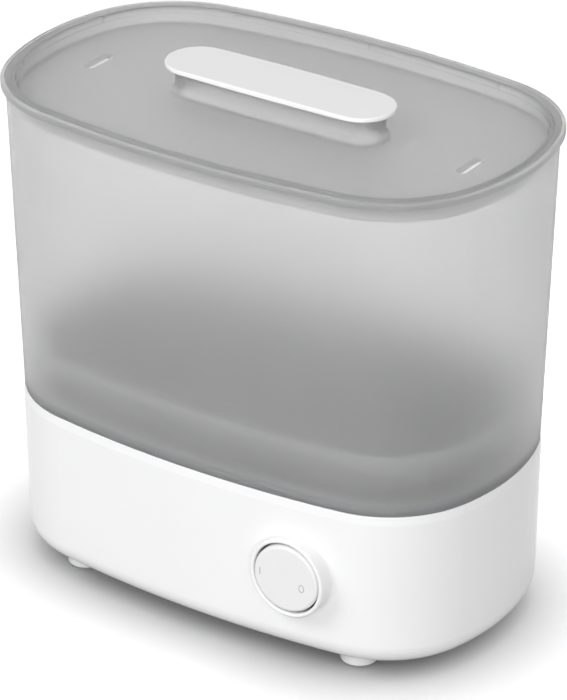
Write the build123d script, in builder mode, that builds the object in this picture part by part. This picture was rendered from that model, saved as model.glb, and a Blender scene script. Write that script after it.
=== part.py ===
from build123d import *
from math import asin, atan2, cos, degrees, hypot, radians, sin, sqrt, tan
import os

os.makedirs("parts", exist_ok=True)

# Steam sterilizer for feeding bottles, in millimetres. The origin is on the floor under the
# middle of the plan, +Z is up, X runs along the length, and the switch faces -Y.

# Plan outline at the lip of the chamber: eight arcs, each running smoothly into the next
half_length = 145.2
half_depth = 88.5
front_radius = 600.6
end_radius = 124.0
corner_radius = 65.0

# Heights of the stacked pieces
pad_drop = 1.6
foot_height = 6.4
base_height = 87.0
chamber_height = 172.0
seat_gap = 0.2

# Side faces, as insets from the lip's outline
lip_overhang = 2.4
seam_inset = 7.35
base_bottom_inset = 8.0

# Base housing
base_wall = 2.8
base_top_fillet = 0.4
base_band_height = 4.6
base_band_run = 0.5
base_bottom_fillet = 11.8
inner_bottom_fillet = 9.0
deck_thickness = 2.6
deck_drop = 11.0
spigot_gap = 0.5
spigot_width = 2.2
spigot_height = 3.6
bowl_run = 18.3
ledge_width = 8.0
cover_margin = 4.3

# Chamber
chamber_wall = 2.2
chamber_foot_width = 5.65
chamber_foot_height = 4.0
chamber_edge_fillet = 0.6
lip_height = 3.5
lip_width = 2.0
lip_ledge = 1.1
lip_fillet = 0.9

# Lid
lid_fit = 0.35
lid_sheet = 2.0
groove_depth = 1.5
groove_floor_inset = 4.9
groove_floor_width = 0.4
ridge_inset = 6.6
ridge_width = 0.8
ridge_fillet = 0.3
dish_depth = 8.0
dish_step_depth = 3.8
dish_step_width = 0.4
dish_upper_run = 0.3
dish_lower_run = 0.8
dish_fillet = 1.6
skirt_gap = 0.5
skirt_width = 1.8
skirt_drop = 2.0
skirt_lean = 1.5
slot_from_end = 34.3
slot_length = 17.4
slot_width = 2.7
slot_recess_margin = 1.9
slot_recess_depth = 1.3
rib_thickness = 0.8
rib_height = 3.0
rib_reach = 0.4
rib_end_share = 0.95
rib_side_x = 80.0

# Handle
pedestal_half_length = 60.4
pedestal_half_width = 12.5
pedestal_height = 13.9
pedestal_wall = 1.9
pedestal_fillet = 4.0
cap_half_length = 65.5
cap_half_width = 17.9
cap_bulge = 0.6
cap_thickness = 2.0
cap_crown = 0.5
cap_top_fillet = 0.6
cap_bottom_fillet = 0.3
cap_post_radius = 3.0
cap_post_gap = 0.15
cap_post_spacing = 40.0
handle_screw_radius = 1.3
handle_screw_reach = 3.0
handle_head_radius = 4.4
handle_head_height = 1.8

# Bottle basket
basket_floor_rise = 9.0
basket_height = 31.0
basket_wall = 1.8
basket_clearance = 2.0
basket_flange_thickness = 2.0
basket_flange_inset = 0.6
basket_slot_length = 18.0
basket_slot_width = 4.0
basket_slot_pitch = 12.0
basket_row_pitch = 25.0
basket_side_slot_height = 12.0
basket_side_slot_pitch = 16.0
floor_margin = 29.0

# Switch on the front
switch_from_end = 83.6
switch_below_seam = 40.8
collar_radius = 21.5
bore_radius = 19.3
collar_reach = 7.6
collar_root_fillet = 2.0
collar_rim_fillet = 0.9
barrel_depth = 12.0
barrel_radius = 21.0
rocker_gap = 1.1
rocker_thickness = 6.6
rocker_recess = -0.5
rocker_fillet = 1.9
rocker_tilt = 4.0
rocker_pin_radius = 1.2
rocker_pin_fit = 0.05
collar_pin_fit = 0.02
rocker_pin_bite = 4.0
collar_pin_bite = 1.4
pusher_offset = 12.0
pusher_reach = 11.0
pusher_radius = 2.5
plunger_radius = 2.8
plunger_fit = 0.15
plunger_gap = 0.3
plunger_length = 14.0
module_flange = 2.0
module_width = 34.0
module_tall = 20.0
module_depth = 22.0
module_screw_offset = 26.0
module_boss_radius = 4.0
module_screw_radius = 1.5
module_screw_length = 9.0
module_head_radius = 2.9
module_head_height = 2.0
tab_width = 6.3
tab_thickness = 0.8
tab_length = 9.0
switch_tab_offset = 8.0

# Heating plate and what hangs under it
seal_thickness = 1.2
seal_lip = 1.6
plate_sheet = 1.0
plate_margin = 2.3
pan_margin = 10.5
pan_depth = 4.0
pan_slope = 3.0
stud_margin = 4.2
stud_radius = 1.5
stud_fit = 0.2
stud_length = 9.0
stud_from_end = 75.2
nut_width = 5.5
nut_height = 2.6
carrier_margin = 7.5
carrier_thickness = 3.0
element_radius = 3.2
element_from_end = 75.2
element_from_side = 62.5
element_bend_share = 0.77
element_gap = 24.0
element_tab_length = 14.0
thermostat_radius = 9.0
thermostat_height = 8.0
thermostat_offset = 25.0
clamp_thickness = 1.5
clamp_width = 14.0
clamp_half_length = 44.0
clamp_leg = 5.0
clamp_screw_radius = 1.5
clamp_head_radius = 3.0
clamp_head_height = 1.8

# Underside
cover_thickness = 2.5
cover_gap = 0.3
vent_length = 30.0
vent_width = 3.0
vent_pitch = 8.0
vent_columns = 3
vent_rows = 4
foot_from_end = 60.1
foot_from_side = 34.5
foot_radius = 9.7
foot_fillet = 0.6
pad_radius = 8.8
pad_fit = 0.1
pad_bite = 1.5
foot_boss_radius = 4.6
foot_screw_radius = 1.9
foot_screw_length = 20.0
foot_head_radius = 3.8
foot_head_height = 2.5
foot_head_fit = 0.3
thread_fit = 0.05

# Mains inlet and wiring
gland_rise = 22.0
gland_flange_radius = 9.0
gland_flange_thickness = 2.5
gland_pocket = 1.0
gland_barrel_radius = 6.4
gland_bore_radius = 3.4
gland_barrel_length = 14.0
gland_nut_width = 17.0
gland_nut_height = 4.0
gland_fit = 0.1
block_length = 36.0
block_depth = 14.0
block_height = 14.0
block_setback = 34.0
block_port_pitch = 12.0
block_screw_radius = 1.5
block_head_radius = 2.8
block_head_height = 1.6
lead_radius = 1.2
lead_straight = 18.0
lead_reach = 24.0
lead_swing = 16.0
lead_rise = 8.0
lead_aside = 12.0
lead_drop = 14.0
lead_bend_share = 0.45

# How far from its level an edge may lie and still be picked for rounding
pick_margin = 0.01

# Levels and insets that follow from the sizes above
underside_z = pad_drop + foot_height
seam_z = underside_z + base_height
band_z = seam_z - base_band_height
lip_top_z = seam_z + chamber_height
lip_under_z = lip_top_z - lip_height
lip_ledge_z = lip_under_z + lip_ledge
chamber_foot_inset = seam_inset + chamber_foot_width
spigot_inset = chamber_foot_inset + spigot_gap
spigot_top_z = seam_z + spigot_height
bowl_inset = spigot_inset + spigot_width
ledge_z = seam_z - deck_drop
ledge_inset = bowl_inset + bowl_run
opening_inset = ledge_inset + ledge_width
ledge_under_z = ledge_z - deck_thickness
cover_inset = base_bottom_inset + base_bottom_fillet + cover_margin
floor_z = underside_z + cover_thickness
switch_from_middle = half_length - switch_from_end
switch_z = seam_z - switch_below_seam
seal_top_z = ledge_z + seal_thickness
plate_inset = ledge_inset + plate_margin
stud_inset = ledge_inset + stud_margin
pan_inset = ledge_inset + pan_margin


def corner_centre():
    """Centre of the back right corner arc, which touches the back arc and the end arc."""
    back_y = half_depth - front_radius
    end_x = half_length - end_radius
    apart = hypot(end_x, back_y)
    to_back = front_radius - corner_radius
    to_end = end_radius - corner_radius
    along = (apart**2 + to_back**2 - to_end**2) / (2 * apart)
    aside = sqrt(to_back**2 - along**2)
    x = (along * end_x - aside * back_y) / apart
    y = back_y + (-along * back_y - aside * end_x) / apart
    return x, y


corner_x, corner_y = corner_centre()
end_turn = degrees(atan2(corner_y, corner_x - half_length + end_radius))
back_turn = degrees(atan2(corner_y + front_radius - half_depth, corner_x))


def outline(z, inset):
    """The plan outline at a height, drawn in from the lip's edge by an inset."""
    with BuildSketch(Plane.XY.offset(z)) as plan:
        with BuildLine():
            for turn, side in ((0, 1), (180, -1)):
                end_middle = (side * (half_length - end_radius), 0)
                back_middle = (0, side * (half_depth - front_radius))
                first_corner = (side * corner_x, side * corner_y)
                second_corner = (-side * corner_x, side * corner_y)
                corner_size = back_turn - end_turn
                CenterArc(end_middle, end_radius - inset, turn - end_turn, 2 * end_turn)
                CenterArc(first_corner, corner_radius - inset, turn + end_turn, corner_size)
                CenterArc(back_middle, front_radius - inset, turn + back_turn, 180 - 2 * back_turn)
                CenterArc(second_corner, corner_radius - inset, turn + 180 - back_turn, corner_size)
        make_face()
    return plan.sketch


def side_y(x, inset):
    """How far the long side of the outline lies from the centre line, at a place along X."""
    return half_depth - front_radius + sqrt((front_radius - inset)**2 - x**2)


def pill(z, long_half, wide_half, bulge):
    """An oblong with round ends and long sides that bulge a little, at a height."""
    end = wide_half - bulge
    middle = long_half - end
    side = (middle**2 + wide_half**2 - end**2) / (2 * bulge)
    lean = degrees(atan2(middle, side - wide_half))
    with BuildSketch(Plane.XY.offset(z)) as plan:
        with BuildLine():
            CenterArc((middle, 0), end, lean - 90, 180 - 2 * lean)
            CenterArc((0, wide_half - side), side, 90 - lean, 2 * lean)
            CenterArc((-middle, 0), end, 90 + lean, 180 - 2 * lean)
            CenterArc((0, side - wide_half), side, 270 - lean, 2 * lean)
        make_face()
    return plan.sketch


def bowl_inset_at(z):
    """Inset of the base's water bowl at a height on its slope."""
    return ledge_inset - bowl_run * (z - ledge_z) / (spigot_top_z - ledge_z)


def stud_sketch(z, radius):
    """Round spots for the plate's studs along both long sides, at a height."""
    stud_x = half_length - stud_from_end
    with BuildSketch(Plane.XY.offset(z)) as spots:
        for x in (-stud_x, 0, stud_x):
            with Locations((x, side_y(x, stud_inset)), (x, -side_y(x, stud_inset))):
                Circle(radius)
    return spots.sketch


# Places of the switch, with the rocker's right side pressed in, which is off
housing_front_y = -side_y(switch_from_middle, seam_inset)
collar_front_y = housing_front_y - collar_reach
barrel_rear_y = housing_front_y + barrel_depth
rocker_face_y = collar_front_y + rocker_recess
pivot_y = rocker_face_y + rocker_thickness / 2
pivot = (switch_from_middle, pivot_y, switch_z)
rocker_radius = bore_radius - rocker_gap
rocker_plane = Plane(
    origin=pivot,
    x_dir=(cos(radians(rocker_tilt)), sin(radians(rocker_tilt)), 0),
    z_dir=(sin(radians(rocker_tilt)), -cos(radians(rocker_tilt)), 0),
)


# Space inside the base housing, under the deck and its water bowl
with BuildPart() as base_hollow:
    loft([
        outline(underside_z + base_wall, base_bottom_inset + base_wall),
        outline(seam_z - deck_thickness, seam_inset + base_wall),
    ])
    fillet(base_hollow.edges().group_by(Axis.Z)[0], inner_bottom_fillet)
    loft([
        outline(ledge_under_z, ledge_inset - deck_thickness),
        outline(spigot_top_z - deck_thickness, bowl_inset - deck_thickness),
    ], mode=Mode.SUBTRACT)

# White housing: outer side with a soft lower edge and a narrow band that leans in along the top,
# spigot ring and water bowl above, switch collar on the front, and inside a barrel behind the
# collar and bosses for the feet's and the switch's screws
foot_places = GridLocations(2 * (half_length - foot_from_end), 2 * (half_depth - foot_from_side), 2, 2)
switch_front = Plane(
    origin=(switch_from_middle, collar_front_y, switch_z),
    x_dir=(1, 0, 0),
    z_dir=(0, -1, 0),
)
barrel_rear = switch_front.offset(collar_front_y - barrel_rear_y)
back_y = side_y(0, base_bottom_inset)
gland_face = Plane(origin=(0, back_y, underside_z + gland_rise), x_dir=(-1, 0, 0), z_dir=(0, 1, 0))
gland_seat = gland_face.offset(-gland_pocket)
with BuildPart() as base_housing:
    loft([
        outline(underside_z, base_bottom_inset),
        outline(band_z, seam_inset - base_band_run),
    ])
    fillet(base_housing.edges().group_by(Axis.Z)[0], base_bottom_fillet)
    loft([
        outline(band_z, seam_inset - base_band_run),
        outline(seam_z, seam_inset),
    ])
    fillet(base_housing.edges().group_by(Axis.Z)[-1], base_top_fillet)
    with BuildSketch(switch_front):
        Circle(collar_radius)
    extrude(amount=-collar_reach - barrel_depth)
    collar_root = base_housing.edges().filter_by_position(
        Axis.Y, collar_front_y + collar_reach / 4, barrel_rear_y
    ).filter_by_position(
        Axis.X, switch_from_middle - collar_radius, switch_from_middle + collar_radius
    ).filter_by_position(
        Axis.Z, switch_z - collar_radius, switch_z + collar_radius
    )
    fillet(collar_root, collar_root_fillet)
    extrude(outline(seam_z, spigot_inset), amount=spigot_height)
    loft([
        outline(ledge_z, ledge_inset),
        outline(spigot_top_z, bowl_inset),
    ], mode=Mode.SUBTRACT)
    add(base_hollow.part, mode=Mode.SUBTRACT)
    extrude(outline(ledge_under_z, opening_inset), amount=deck_thickness, mode=Mode.SUBTRACT)
    extrude(stud_sketch(ledge_under_z, stud_radius + stud_fit), amount=deck_thickness, mode=Mode.SUBTRACT)
    extrude(outline(underside_z, cover_inset), amount=base_wall, mode=Mode.SUBTRACT)
    with BuildSketch(barrel_rear):
        Circle(barrel_radius)
        with Locations((0, module_screw_offset), (0, -module_screw_offset)):
            Circle(module_boss_radius)
    extrude(amount=barrel_depth - base_wall / 2)
    with BuildSketch(switch_front):
        Circle(bore_radius)
    extrude(amount=-collar_reach - barrel_depth, mode=Mode.SUBTRACT)
    fillet(base_housing.faces().sort_by(Axis.Y)[0].edges(), collar_rim_fillet)
    with BuildSketch(barrel_rear):
        with Locations((0, module_screw_offset), (0, -module_screw_offset)):
            Circle(module_screw_radius + thread_fit)
    extrude(amount=module_screw_length, mode=Mode.SUBTRACT)
    with BuildSketch(Plane.XY.offset(floor_z)):
        with foot_places:
            Circle(foot_boss_radius)
    extrude(amount=ledge_z - floor_z)
    with BuildSketch(Plane.XY.offset(floor_z)):
        with foot_places:
            Circle(foot_screw_radius + thread_fit)
    extrude(amount=foot_screw_length, mode=Mode.SUBTRACT)
    with BuildSketch(Plane(origin=pivot)):
        Circle(rocker_pin_radius + collar_pin_fit)
    extrude(amount=bore_radius + collar_pin_bite, both=True, mode=Mode.SUBTRACT)
    with BuildSketch(gland_seat):
        Circle(gland_flange_radius + gland_fit)
    extrude(amount=gland_flange_thickness, mode=Mode.SUBTRACT)
    with BuildSketch(gland_seat):
        Circle(gland_barrel_radius + gland_fit)
    extrude(amount=-gland_barrel_length, mode=Mode.SUBTRACT)
base_housing.part.label = "base_housing"
export_step(base_housing.part, "parts/base_housing.step")

# Flat underside cover with vent slots, level with the housing's lower rim
with BuildPart() as base_cover:
    extrude(outline(underside_z, cover_inset + cover_gap), amount=cover_thickness)
    with BuildSketch(Plane.XY.offset(underside_z)):
        with GridLocations(vent_length + vent_pitch, vent_pitch, vent_columns, vent_rows):
            SlotOverall(vent_length, vent_width)
    extrude(amount=cover_thickness, mode=Mode.SUBTRACT)
    with BuildSketch(Plane.XY.offset(underside_z)):
        with foot_places:
            Circle(foot_screw_radius + foot_head_fit)
    extrude(amount=cover_thickness, mode=Mode.SUBTRACT)
base_cover.part.label = "base_cover"
export_step(base_cover.part, "parts/base_cover.step")

# Four round feet, each with a pocket for its pad and a seat for its screw's head
head_seat_z = pad_drop + pad_bite + foot_head_height + foot_head_fit
with BuildPart() as feet:
    with BuildSketch(Plane.XY.offset(pad_drop)):
        with foot_places:
            Circle(foot_radius)
    extrude(amount=foot_height)
    fillet(feet.edges().group_by(Axis.Z)[0], foot_fillet)
    with BuildSketch(Plane.XY.offset(pad_drop)):
        with foot_places:
            Circle(pad_radius + pad_fit)
    extrude(amount=pad_bite, mode=Mode.SUBTRACT)
    with BuildSketch(Plane.XY.offset(pad_drop)):
        with foot_places:
            Circle(foot_head_radius + foot_head_fit)
    extrude(amount=head_seat_z - pad_drop, mode=Mode.SUBTRACT)
    with BuildSketch(Plane.XY.offset(pad_drop)):
        with foot_places:
            Circle(foot_screw_radius + foot_head_fit)
    extrude(amount=foot_height, mode=Mode.SUBTRACT)
feet.part.label = "feet"
export_step(feet.part, "parts/feet.step")

# Rubber pads pressed into the feet, which the object stands on
with BuildPart() as foot_pads:
    with BuildSketch():
        with foot_places:
            Circle(pad_radius)
    extrude(amount=pad_drop + pad_bite)
foot_pads.part.label = "foot_pads"
export_step(foot_pads.part, "parts/foot_pads.step")

# Screws that clamp each foot and the cover to the housing's bosses
with BuildPart() as foot_screws:
    with BuildSketch(Plane.XY.offset(head_seat_z - foot_head_height)):
        with foot_places:
            Circle(foot_head_radius)
    extrude(amount=foot_head_height)
    with BuildSketch(Plane.XY.offset(head_seat_z)):
        with foot_places:
            Circle(foot_screw_radius)
    extrude(amount=floor_z + foot_screw_length - foot_head_radius - head_seat_z)
foot_screws.part.label = "foot_screws"
export_step(foot_screws.part, "parts/foot_screws.step")

# Silicone ring between the deck's ledge and the heating plate, with a lip down into the opening
with BuildPart() as plate_seal:
    extrude(outline(ledge_z, plate_inset - plate_margin / 2), amount=seal_thickness)
    extrude(outline(ledge_z, opening_inset + cover_gap), amount=-deck_thickness)
    extrude(outline(ledge_under_z, opening_inset + cover_gap + seal_lip), amount=seal_top_z - ledge_under_z,
            mode=Mode.SUBTRACT)
    extrude(stud_sketch(ledge_z, stud_radius + stud_fit), amount=seal_thickness, mode=Mode.SUBTRACT)
plate_seal.part.label = "plate_seal"
export_step(plate_seal.part, "parts/plate_seal.step")

# Stainless heating plate: a flat rim on the seal, a shallow pan, and studs welded under the rim
with BuildPart() as heating_plate:
    extrude(outline(seal_top_z, plate_inset), amount=plate_sheet)
    loft([
        outline(seal_top_z - pan_depth, pan_inset + pan_slope),
        outline(seal_top_z, pan_inset),
    ])
    loft([
        outline(seal_top_z + plate_sheet - pan_depth, pan_inset + pan_slope + plate_sheet),
        outline(seal_top_z + plate_sheet, pan_inset + plate_sheet),
    ], mode=Mode.SUBTRACT)
    extrude(stud_sketch(seal_top_z, stud_radius), amount=-stud_length)
heating_plate.part.label = "heating_plate"
export_step(heating_plate.part, "parts/heating_plate.step")

# Hexagon nuts that draw the studs down against the underside of the ledge
nut_x = half_length - stud_from_end
with BuildPart() as plate_nuts:
    with BuildSketch(Plane.XY.offset(ledge_under_z)):
        for x in (-nut_x, 0, nut_x):
            with Locations((x, side_y(x, stud_inset)), (x, -side_y(x, stud_inset))):
                RegularPolygon(nut_width / 2, 6, major_radius=False)
    extrude(amount=-nut_height)
    extrude(stud_sketch(ledge_under_z, stud_radius + thread_fit), amount=-nut_height, mode=Mode.SUBTRACT)
plate_nuts.part.label = "plate_nuts"
export_step(plate_nuts.part, "parts/plate_nuts.step")

# Aluminium spreader under the pan
carrier_top_z = seal_top_z - pan_depth
carrier_under_z = carrier_top_z - carrier_thickness
carrier_inset = pan_inset + carrier_margin
with BuildPart() as heater_carrier:
    extrude(outline(carrier_top_z, carrier_inset), amount=-carrier_thickness)
    with BuildSketch(Plane.XY.offset(carrier_under_z)):
        with GridLocations(2 * clamp_half_length - clamp_leg, 0, 2, 1):
            Circle(clamp_screw_radius + thread_fit)
    extrude(amount=carrier_thickness, mode=Mode.SUBTRACT)
heater_carrier.part.label = "heater_carrier"
export_step(heater_carrier.part, "parts/heater_carrier.step")

# Tubular element, one open loop that lies against the spreader
element_z = carrier_under_z - element_radius
element_half_length = half_length - element_from_end
element_half_width = half_depth - element_from_side
tab_x = element_gap / 2
with BuildPart() as heating_element:
    with BuildLine() as element_path:
        FilletPolyline(
            (tab_x, -element_half_width, element_z),
            (element_half_length, -element_half_width, element_z),
            (element_half_length, element_half_width, element_z),
            (-element_half_length, element_half_width, element_z),
            (-element_half_length, -element_half_width, element_z),
            (-tab_x, -element_half_width, element_z),
            radius=element_bend_share * element_half_width,
        )
    with BuildSketch(Plane(origin=element_path.line @ 0, z_dir=element_path.line % 0)):
        Circle(element_radius)
    sweep()
heating_element.part.label = "heating_element"
export_step(heating_element.part, "parts/heating_element.step")

# Flat brass tabs on the element's two ends, pointing down
with BuildPart() as element_tabs:
    for side in (1, -1):
        with BuildSketch(Plane.YZ.offset(side * tab_x)):
            with Locations((-element_half_width, element_z + element_radius - element_tab_length / 2)):
                Rectangle(tab_width, element_tab_length)
        extrude(amount=-side * tab_thickness)
element_tabs.part.label = "element_tabs"
export_step(element_tabs.part, "parts/element_tabs.step")

# Control and cut-out discs that sense the spreader
thermostat_under_z = carrier_under_z - thermostat_height
with BuildPart() as thermostats:
    with BuildSketch(Plane.XY.offset(carrier_under_z)):
        with GridLocations(2 * thermostat_offset, 0, 2, 1):
            Circle(thermostat_radius)
    extrude(amount=-thermostat_height)
thermostats.part.label = "thermostats"
export_step(thermostats.part, "parts/thermostats.step")

# Steel strap that presses both discs up, standing on two legs
with BuildPart() as thermostat_clamp:
    with BuildSketch(Plane.XY.offset(thermostat_under_z)):
        Rectangle(2 * clamp_half_length, clamp_width)
    extrude(amount=-clamp_thickness)
    with BuildSketch(Plane.XY.offset(thermostat_under_z)):
        with GridLocations(2 * clamp_half_length - clamp_leg, 0, 2, 1):
            Rectangle(clamp_leg, clamp_width)
    extrude(amount=thermostat_height)
    with BuildSketch(Plane.XY.offset(thermostat_under_z - clamp_thickness)):
        with GridLocations(2 * clamp_half_length - clamp_leg, 0, 2, 1):
            Circle(clamp_screw_radius + thread_fit)
    extrude(amount=thermostat_height + clamp_thickness, mode=Mode.SUBTRACT)
thermostat_clamp.part.label = "thermostat_clamp"
export_step(thermostat_clamp.part, "parts/thermostat_clamp.step")

# Screws through the strap's legs into the spreader
clamp_under_z = thermostat_under_z - clamp_thickness
with BuildPart() as clamp_screws:
    with BuildSketch(Plane.XY.offset(clamp_under_z)):
        with GridLocations(2 * clamp_half_length - clamp_leg, 0, 2, 1):
            Circle(clamp_head_radius)
    extrude(amount=-clamp_head_height)
    with BuildSketch(Plane.XY.offset(clamp_under_z)):
        with GridLocations(2 * clamp_half_length - clamp_leg, 0, 2, 1):
            Circle(clamp_screw_radius)
    extrude(amount=carrier_top_z - clamp_under_z)
clamp_screws.part.label = "clamp_screws"
export_step(clamp_screws.part, "parts/clamp_screws.step")

# Round rocker disc with a soft front edge, two pin holes and a domed pusher behind its left half
rocker_front = rocker_plane.offset(rocker_thickness / 2)
rocker_back = rocker_plane.offset(-rocker_thickness / 2)
with BuildPart() as switch_rocker:
    with BuildSketch(rocker_front):
        Circle(rocker_radius)
    extrude(amount=-rocker_thickness)
    fillet(switch_rocker.faces().sort_by(Axis.Y)[0].edges(), rocker_fillet)
    with BuildSketch(rocker_back):
        with Locations((-pusher_offset, 0)):
            Circle(pusher_radius)
    extrude(amount=-(pusher_reach - rocker_thickness / 2))
    fillet(switch_rocker.faces().sort_by(Axis.Y)[-1].edges(), pusher_radius * 0.9)
    for side in (1, -1):
        hole_start = side * (rocker_radius - rocker_pin_bite)
        with BuildSketch(Plane(origin=pivot).offset(hole_start)):
            Circle(rocker_pin_radius + rocker_pin_fit)
        extrude(amount=side * rocker_pin_bite, mode=Mode.SUBTRACT)
switch_rocker.part.label = "switch_rocker"
export_step(switch_rocker.part, "parts/switch_rocker.step")

# Steel pins, above and below the disc, that carry it in the collar's bore
with BuildPart() as rocker_pins:
    for side in (1, -1):
        pin_start = side * (rocker_radius - rocker_pin_bite + rocker_pin_fit)
        with BuildSketch(Plane(origin=pivot).offset(pin_start)):
            Circle(rocker_pin_radius)
        extrude(amount=side * (rocker_pin_bite + rocker_gap + collar_pin_bite - 2 * rocker_pin_fit))
rocker_pins.part.label = "rocker_pins"
export_step(rocker_pins.part, "parts/rocker_pins.step")

# Switch body on the collar's inner end, with a guide bore for the plunger
plunger_x = switch_from_middle - pusher_offset
module_rear_y = barrel_rear_y + module_flange + module_depth
with BuildPart() as switch_module:
    with BuildSketch(barrel_rear):
        Circle(collar_radius)
        Rectangle(2 * module_boss_radius, 2 * module_screw_offset)
        with Locations((0, module_screw_offset), (0, -module_screw_offset)):
            Circle(module_boss_radius)
    extrude(amount=-module_flange)
    with BuildSketch(barrel_rear.offset(-module_flange)):
        Rectangle(module_width, module_tall)
    extrude(amount=-module_depth)
    with BuildSketch(barrel_rear):
        with Locations((-pusher_offset, 0)):
            Circle(plunger_radius + plunger_fit)
    extrude(amount=-module_flange - plunger_length, mode=Mode.SUBTRACT)
    with BuildSketch(barrel_rear):
        with Locations((0, module_screw_offset), (0, -module_screw_offset)):
            Circle(module_screw_radius + thread_fit)
    extrude(amount=-module_flange, mode=Mode.SUBTRACT)
switch_module.part.label = "switch_module"
export_step(switch_module.part, "parts/switch_module.step")

# Brass tabs out of the back of the switch body
module_rear = barrel_rear.offset(-module_flange - module_depth)
with BuildPart() as switch_tabs:
    with BuildSketch(module_rear):
        with GridLocations(2 * switch_tab_offset, 0, 2, 1):
            Rectangle(tab_width, tab_thickness)
    extrude(amount=-tab_length)
switch_tabs.part.label = "switch_tabs"
export_step(switch_tabs.part, "parts/switch_tabs.step")

# Screws that hold the switch body to the housing's bosses
with BuildPart() as module_screws:
    with BuildSketch(barrel_rear.offset(-module_flange)):
        with Locations((0, module_screw_offset), (0, -module_screw_offset)):
            Circle(module_head_radius)
    extrude(amount=-module_head_height)
    with BuildSketch(barrel_rear.offset(-module_flange)):
        with Locations((0, module_screw_offset), (0, -module_screw_offset)):
            Circle(module_screw_radius)
    extrude(amount=module_screw_length)
module_screws.part.label = "module_screws"
export_step(module_screws.part, "parts/module_screws.step")

# Plunger that the rocker's pusher presses in as it turns to on
pusher_tip_y = pivot_y - pusher_offset * sin(radians(rocker_tilt)) + pusher_reach * cos(radians(rocker_tilt))
plunger_front_y = pusher_tip_y + plunger_gap
with BuildPart() as switch_plunger:
    with BuildSketch(Plane(origin=(plunger_x, plunger_front_y, switch_z), x_dir=(1, 0, 0), z_dir=(0, -1, 0))):
        Circle(plunger_radius)
    extrude(amount=-plunger_length)
switch_plunger.part.label = "switch_plunger"
export_step(switch_plunger.part, "parts/switch_plunger.step")

# Bushing in the rear wall that the mains cord leaves through, and its nut inside
with BuildPart() as cord_gland:
    with BuildSketch(gland_seat):
        Circle(gland_flange_radius)
    extrude(amount=gland_flange_thickness)
    fillet(cord_gland.faces().sort_by(Axis.Y)[-1].edges(), gland_flange_thickness / 3)
    with BuildSketch(gland_seat):
        Circle(gland_barrel_radius)
    extrude(amount=-gland_barrel_length)
    with BuildSketch(gland_seat.offset(gland_flange_thickness)):
        Circle(gland_bore_radius)
    extrude(amount=-gland_flange_thickness - gland_barrel_length, mode=Mode.SUBTRACT)
cord_gland.part.label = "cord_gland"
export_step(cord_gland.part, "parts/cord_gland.step")

wall_inner_y = side_y(0, base_bottom_inset + base_wall)
nut_seat = gland_face.offset(wall_inner_y - back_y - thread_fit)
with BuildPart() as gland_nut:
    with BuildSketch(nut_seat):
        RegularPolygon(gland_nut_width / 2, 6, major_radius=False)
        Circle(gland_barrel_radius + thread_fit, mode=Mode.SUBTRACT)
    extrude(amount=-gland_nut_height)
gland_nut.part.label = "gland_nut"
export_step(gland_nut.part, "parts/gland_nut.step")

# Terminal block on the cover, with three ports towards the front
block_y = side_y(0, base_bottom_inset) - block_setback
port_y = block_y - block_depth / 2
port_z = floor_z + block_height / 2
with BuildPart() as terminal_block:
    with BuildSketch(Plane.XY.offset(floor_z)):
        with Locations((0, block_y)):
            Rectangle(block_length, block_depth)
            with GridLocations(block_port_pitch, 0, 2, 1):
                Circle(block_screw_radius + thread_fit, mode=Mode.SUBTRACT)
    extrude(amount=block_height)
terminal_block.part.label = "terminal_block"
export_step(terminal_block.part, "parts/terminal_block.step")

# Screws that hold the block down on the cover
with BuildPart() as block_screws:
    with BuildSketch(Plane.XY.offset(floor_z + block_height)):
        with Locations((0, block_y)):
            with GridLocations(block_port_pitch, 0, 2, 1):
                Circle(block_head_radius)
    extrude(amount=block_head_height)
    with BuildSketch(Plane.XY.offset(floor_z + block_height)):
        with Locations((0, block_y)):
            with GridLocations(block_port_pitch, 0, 2, 1):
                Circle(block_screw_radius)
    extrude(amount=-block_height)
block_screws.part.label = "block_screws"
export_step(block_screws.part, "parts/block_screws.step")


def bend_radii(points):
    """A radius for each bend of a route, as large as the shorter run beside it allows."""
    corners = [Vector(*point) for point in points]
    radii = []
    for before, here, after in zip(corners, corners[1:], corners[2:]):
        turn = (here - before).get_angle(after - here)
        shorter = min((here - before).length, (after - here).length)
        radii.append(lead_bend_share * shorter / tan(radians(turn) / 2))
    return radii


def lead(points):
    """One insulated wire along a route of straight runs joined by arcs."""
    radii = bend_radii(points)
    print("bend radii", [round(radius, 1) for radius in radii])
    with BuildPart() as wire:
        with BuildLine() as route:
            FilletPolyline(*points, radius=radii)
        with BuildSketch(Plane(origin=route.line @ 0, z_dir=route.line % 0)):
            Circle(lead_radius)
        sweep()
    return wire.part


tab_end_y = module_rear_y + tab_length
tab_end_z = element_z + element_radius - element_tab_length
element_tab_x = tab_x - tab_thickness / 2
left_tab_x = switch_from_middle - switch_tab_offset
right_tab_x = switch_from_middle + switch_tab_offset

# Wire from the terminal block to the switch
supply_lead = lead([
    (block_port_pitch, port_y, port_z),
    (block_port_pitch, port_y - lead_straight, port_z),
    (block_port_pitch + lead_reach, port_y - 2 * lead_straight, port_z + lead_rise),
    (right_tab_x, tab_end_y + lead_reach, switch_z),
    (right_tab_x, tab_end_y, switch_z),
])
supply_lead.label = "supply_lead"
export_step(supply_lead, "parts/supply_lead.step")

# Wire from the switch to the right end of the element
switched_lead = lead([
    (left_tab_x, tab_end_y, switch_z),
    (left_tab_x, tab_end_y + lead_swing, switch_z),
    (left_tab_x - lead_straight, tab_end_y + lead_reach, switch_z - lead_rise / 2),
    (element_tab_x + lead_aside, -element_half_width + lead_rise, tab_end_z - lead_straight),
    (element_tab_x, -element_half_width, tab_end_z - lead_drop),
    (element_tab_x, -element_half_width, tab_end_z),
])
switched_lead.label = "switched_lead"
export_step(switched_lead, "parts/switched_lead.step")

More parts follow.
